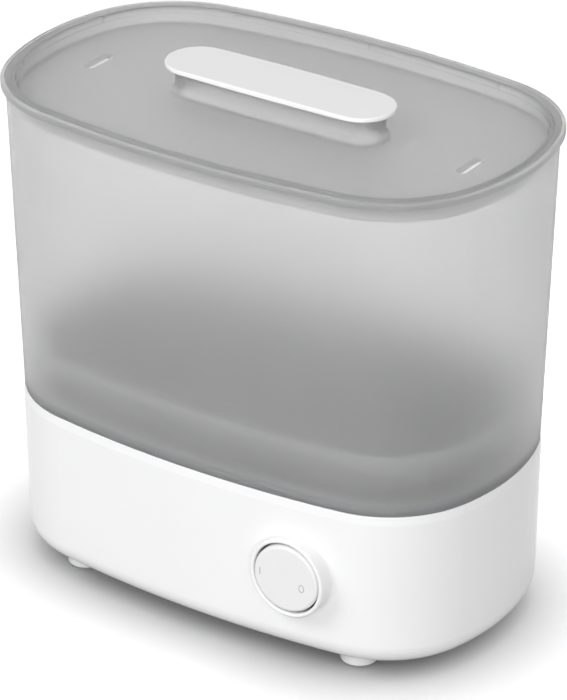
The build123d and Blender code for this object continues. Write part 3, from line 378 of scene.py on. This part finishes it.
# Marks on the rocker: a bar for on and an oval ring for off, pad printed in one coat of grey ink.
# The ink stands a twentieth of a millimetre proud, and its tone is a little uneven.
print_ink, tree = new_material("pad printed grey ink")
place = add_node(tree, "ShaderNodeTexCoord").outputs["Object"]
coat = add_node(tree, "ShaderNodeTexNoise", inputs={
    "Vector": place, "Scale": spacing(0.4), "Detail": 2.0}).outputs["Fac"]
ink = add_node(tree, "ShaderNodeMix", {"data_type": "RGBA"}, {
    "Factor": coat, "A": linear("#A6A8AA"), "B": linear("#B2B4B6")})
shell = add_node(tree, "ShaderNodeBsdfPrincipled", inputs={
    "Base Color": ink.outputs["Result"], "Roughness": 0.5, "IOR": 1.5})
add_node(tree, "ShaderNodeOutputMaterial", inputs={"Surface": shell.outputs["BSDF"]})

# The disc leans by this tilt about its pins, and its face stands out from them.
tilt = radians(4.0)
pins_middle = Vector((0.0616, -0.0827432, 0.0542))
face_from_pins = 0.0033
ink_height = 0.00005
out = Vector((sin(tilt), -cos(tilt), 0))
along = Vector((cos(tilt), sin(tilt), 0))
face_middle = pins_middle + face_from_pins * out

bar_along, bar_up = -0.01443, 0.0009
bar_width, bar_length = 0.00048, 0.0037
ring_along, ring_up = 0.00919, -0.00266
ring_width, ring_length, ring_line = 0.0031, 0.0044, 0.0004


def ink_place(from_middle, up):
    """A place over the disc's face, at the top of the ink."""
    return face_middle + from_middle * along + Vector((0, 0, up)) + ink_height * out


def thicken_ink():
    """Sinks the flat mark being edited into the disc, closes it and ends the edit."""
    bpy.ops.mesh.select_all(action="SELECT")
    bpy.ops.mesh.extrude_region_move(TRANSFORM_OT_translate={"value": -2 * ink_height * out})
    bpy.ops.mesh.select_all(action="SELECT")
    bpy.ops.mesh.normals_make_consistent(inside=False)
    bpy.ops.object.mode_set(mode="OBJECT")


bpy.ops.object.select_all(action="DESELECT")
bpy.ops.mesh.primitive_plane_add(
    size=1, location=ink_place(bar_along, bar_up), rotation=(pi / 2, 0, tilt))
on_mark = bpy.context.object
on_mark.name = "on_mark"
on_mark.scale = (bar_width, bar_length, 1)
bpy.ops.object.transform_apply()
bpy.ops.object.mode_set(mode="EDIT")
thicken_ink()

bpy.ops.object.select_all(action="DESELECT")
bpy.ops.mesh.primitive_circle_add(
    vertices=64, radius=0.5, fill_type="NGON",
    location=ink_place(ring_along, ring_up), rotation=(pi / 2, 0, tilt))
off_mark = bpy.context.object
off_mark.name = "off_mark"
off_mark.scale = (ring_width, ring_length, 1)
bpy.ops.object.transform_apply()
bpy.ops.object.mode_set(mode="EDIT")
bpy.ops.mesh.select_all(action="SELECT")
bpy.ops.mesh.inset(thickness=ring_line)
bpy.ops.mesh.delete(type="FACE")
thicken_ink()

for mark in (on_mark, off_mark):
    mark.data.materials.append(print_ink)
    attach(mark, "rocker")

# Cord gland and its nut: white mouldings at the rear that hold the mains cord, the nut inside the
# wall. They have the grain of the cover.
dress(grained_abs, "cord_gland", "gland_nut")

# Terminal block: a dark phenolic strip on the cover where the mains cord meets the inner leads,
# with plated clamping screws.
dress(phenolic, "terminal_block")
dress(zinc_steel, "block_screws")

# Inner leads: stranded wire in grey silicone insulation, which stands the heat under the pan. The
# extruded jacket has a soft satin skin with powder on it.
lead_jacket, tree = new_material("grey silicone wire insulation")
place = add_node(tree, "ShaderNodeTexCoord").outputs["Object"]
powder = add_node(tree, "ShaderNodeTexNoise", inputs={
    "Vector": place, "Scale": spacing(2.86), "Detail": 3.0}).outputs["Fac"]
jacket = add_node(tree, "ShaderNodeMix", {"data_type": "RGBA"}, {
    "Factor": powder, "A": linear("#5C5F64"), "B": linear("#6C6F74")})
satin = add_node(tree, "ShaderNodeMapRange", inputs={
    "Value": powder, "To Min": 0.45, "To Max": 0.65})
shell = add_node(tree, "ShaderNodeBsdfPrincipled", inputs={
    "Base Color": jacket.outputs["Result"], "Roughness": satin.outputs["Result"], "IOR": 1.41})
add_node(tree, "ShaderNodeOutputMaterial", inputs={"Surface": shell.outputs["BSDF"]})
dress(lead_jacket, "supply_lead", "switched_lead", "return_lead")

# Chamber: a tall sleeve of natural polypropylene that stands on the base and holds the bottles,
# frosted by a blasted mould inside and out. Shapes behind it blur. Its colour is painted darker in
# two height bands, painted shade at its foot just above the base and at its lip, where the plastic
# is thickest.
foot_top, foot_bottom, foot_shade_share = 0.102, 0.0975, 0.72
lip_bottom, lip_top, lip_shade_share = 0.2630, 0.2645, 0.28
painted_shade_grey = linear("#A2A3A5")

frosted_wall, tree = new_material("frosted natural polypropylene")
place = add_node(tree, "ShaderNodeTexCoord").outputs["Object"]
flow = add_node(tree, "ShaderNodeTexNoise", inputs={
    "Vector": place, "Scale": spacing(50), "Detail": 2.0}).outputs["Fac"]
natural = add_node(tree, "ShaderNodeMix", {"data_type": "RGBA"}, {
    "Factor": flow, "A": linear("#ECECEC"), "B": linear("#F0F0F0")})
height = add_node(tree, "ShaderNodeSeparateXYZ", inputs={"Vector": place}).outputs["Z"]
foot_shade_band = add_node(tree, "ShaderNodeMapRange", inputs={
    "Value": height, "From Min": foot_top, "From Max": foot_bottom, "To Max": foot_shade_share})
lip_shade_band = add_node(tree, "ShaderNodeMapRange", inputs={
    "Value": height, "From Min": lip_bottom, "From Max": lip_top, "To Max": lip_shade_share})
# Painted shade: the two height bands darken the chamber's wall towards a grey.
painted_shade_bands = add_node(tree, "ShaderNodeMath", {"operation": "MAXIMUM"}, {
    0: foot_shade_band.outputs["Result"], 1: lip_shade_band.outputs["Result"]})
body_tone = add_node(tree, "ShaderNodeMix", {"data_type": "RGBA"}, {
    "Factor": painted_shade_bands.outputs["Value"], "A": natural.outputs["Result"], "B": painted_shade_grey})
frost = add_node(tree, "ShaderNodeMapRange", inputs={"Value": flow, "To Min": 0.42, "To Max": 0.5})
# The real pits are about 0.1 mm, drawn at 0.5 mm so that they show
blast = add_node(tree, "ShaderNodeTexNoise", inputs={
    "Vector": place, "Scale": spacing(0.5), "Detail": 2.0})
etch = add_node(tree, "ShaderNodeBump", inputs={
    "Strength": 0.25, "Distance": 20 * micron, "Height": blast.outputs["Fac"]})
shell = add_node(tree, "ShaderNodeBsdfPrincipled", inputs={
    "Base Color": body_tone.outputs["Result"], "Roughness": frost.outputs["Result"], "IOR": 1.3,
    "Transmission Weight": 0.86, "Normal": etch.outputs["Normal"]})
add_node(tree, "ShaderNodeOutputMaterial", inputs={"Surface": shell.outputs["BSDF"]})
dress(frosted_wall, "chamber")

# Bottle basket: a perforated tray of polypropylene tinted grey, which stands over the water and
# carries the bottles. Its skin is smoother than the chamber's. Its grey is painted lighter up the
# wall towards the rim, painted light that leaves the lower wall darker.
tint_top, rim_top, painted_light_share = 0.102, 0.124, 0.7

tinted_tray, tree = new_material("grey tinted polypropylene")
place = add_node(tree, "ShaderNodeTexCoord").outputs["Object"]
flow = add_node(tree, "ShaderNodeTexNoise", inputs={
    "Vector": place, "Scale": spacing(33.3), "Detail": 2.0}).outputs["Fac"]
tinted = add_node(tree, "ShaderNodeMix", {"data_type": "RGBA"}, {
    "Factor": flow, "A": linear("#6F7071"), "B": linear("#7B7C7D")})
height = add_node(tree, "ShaderNodeSeparateXYZ", inputs={"Vector": place}).outputs["Z"]
# Painted light: the grey turns lighter by height, from the basket's lower wall up to its rim.
painted_light_band = add_node(tree, "ShaderNodeMapRange", inputs={
    "Value": height, "From Min": tint_top, "From Max": rim_top, "To Max": painted_light_share})
tray_tone = add_node(tree, "ShaderNodeMix", {"data_type": "RGBA"}, {
    "Factor": painted_light_band.outputs["Result"], "A": tinted.outputs["Result"], "B": linear("#C4C5C6")})
satin = add_node(tree, "ShaderNodeMapRange", inputs={"Value": flow, "To Min": 0.3, "To Max": 0.4})
shell = add_node(tree, "ShaderNodeBsdfPrincipled", inputs={
    "Base Color": tray_tone.outputs["Result"], "Roughness": satin.outputs["Result"], "IOR": 1.45,
    "Transmission Weight": 0.3})
add_node(tree, "ShaderNodeOutputMaterial", inputs={"Surface": shell.outputs["BSDF"]})
dress(tinted_tray, "bottle_basket")

# Lid: a dished cover of the same polypropylene with a grey tint, frosted likewise. It has a groove
# and a ridge inside its rim, two steam slots and a pedestal for the grip, and rests in the lip.
rim_bottom, rim_full, rim_shade_share = 0.2640, 0.2660, 0.05

frosted_tint, tree = new_material("frosted grey tinted polypropylene")
place = add_node(tree, "ShaderNodeTexCoord").outputs["Object"]
flow = add_node(tree, "ShaderNodeTexNoise", inputs={
    "Vector": place, "Scale": spacing(50), "Detail": 2.0}).outputs["Fac"]
tinted = add_node(tree, "ShaderNodeMix", {"data_type": "RGBA"}, {
    "Factor": flow, "A": linear("#DBDBDB"), "B": linear("#DFDFDF")})
height = add_node(tree, "ShaderNodeSeparateXYZ", inputs={"Vector": place}).outputs["Z"]
# Painted shade: from the bottom of its rim upward the lid is mixed a little towards the chamber's
# grey.
rim = add_node(tree, "ShaderNodeMapRange", inputs={
    "Value": height, "From Min": rim_bottom, "From Max": rim_full, "To Max": rim_shade_share})
body_tone = add_node(tree, "ShaderNodeMix", {"data_type": "RGBA"}, {
    "Factor": rim.outputs["Result"], "A": tinted.outputs["Result"], "B": painted_shade_grey})
frost = add_node(tree, "ShaderNodeMapRange", inputs={"Value": flow, "To Min": 0.4, "To Max": 0.48})
# Pits as on the chamber
blast = add_node(tree, "ShaderNodeTexNoise", inputs={
    "Vector": place, "Scale": spacing(0.5), "Detail": 2.0})
etch = add_node(tree, "ShaderNodeBump", inputs={
    "Strength": 0.25, "Distance": 20 * micron, "Height": blast.outputs["Fac"]})
shell = add_node(tree, "ShaderNodeBsdfPrincipled", inputs={
    "Base Color": body_tone.outputs["Result"], "Roughness": frost.outputs["Result"], "IOR": 1.3,
    "Transmission Weight": 0.84, "Normal": etch.outputs["Normal"]})
add_node(tree, "ShaderNodeOutputMaterial", inputs={"Surface": shell.outputs["BSDF"]})
dress(frosted_tint, "lid")

# Grip cap: a white oblong moulding on the lid's pedestal, polished like the base, held from below
# by plated screws.
dress(polished_abs, "handle_cap")
dress(zinc_steel, "handle_screws")
